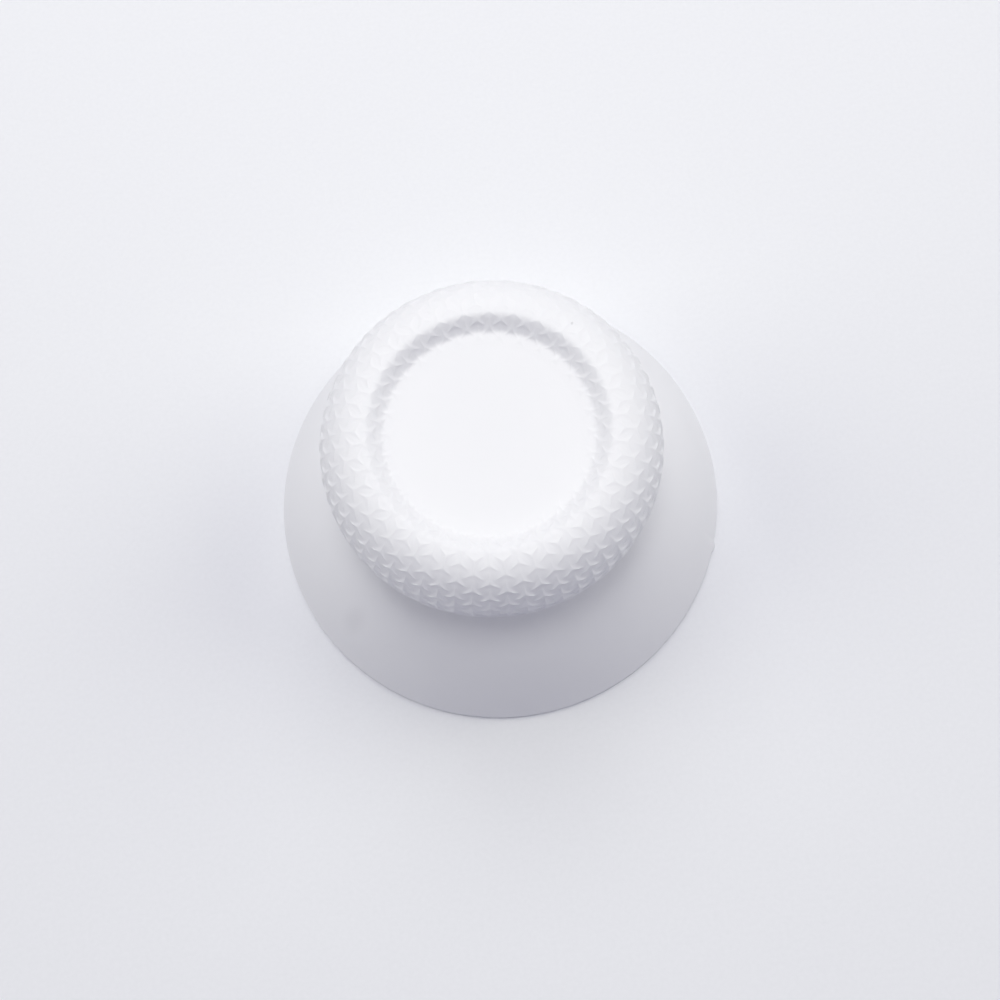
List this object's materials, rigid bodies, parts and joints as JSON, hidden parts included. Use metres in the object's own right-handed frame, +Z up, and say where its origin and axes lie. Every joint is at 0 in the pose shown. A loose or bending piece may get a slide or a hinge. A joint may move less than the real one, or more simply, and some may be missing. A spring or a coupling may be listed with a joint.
{
  "type": "controller thumb grip",
  "caption": "Round thumb grip for a controller's analogue stick: a domed skirt, a narrow waist and a rounded rim with raised stars round a shallow dish.",
  "frame": {"origin": "middle of the foot circle of the skirt, on the surface it stands on", "axes": "+Z up through the waist to the dish, +X across the flats of the socket"},
  "size_m": [0.0254, 0.0254, 0.0144],
  "materials": {
    "white_plastic": "white moulded plastic, matt, with a very fine even grain"
  },
  "bodies": {
    "root": {"thumb_grip": "white_plastic"}
  },
  "joints": []
}
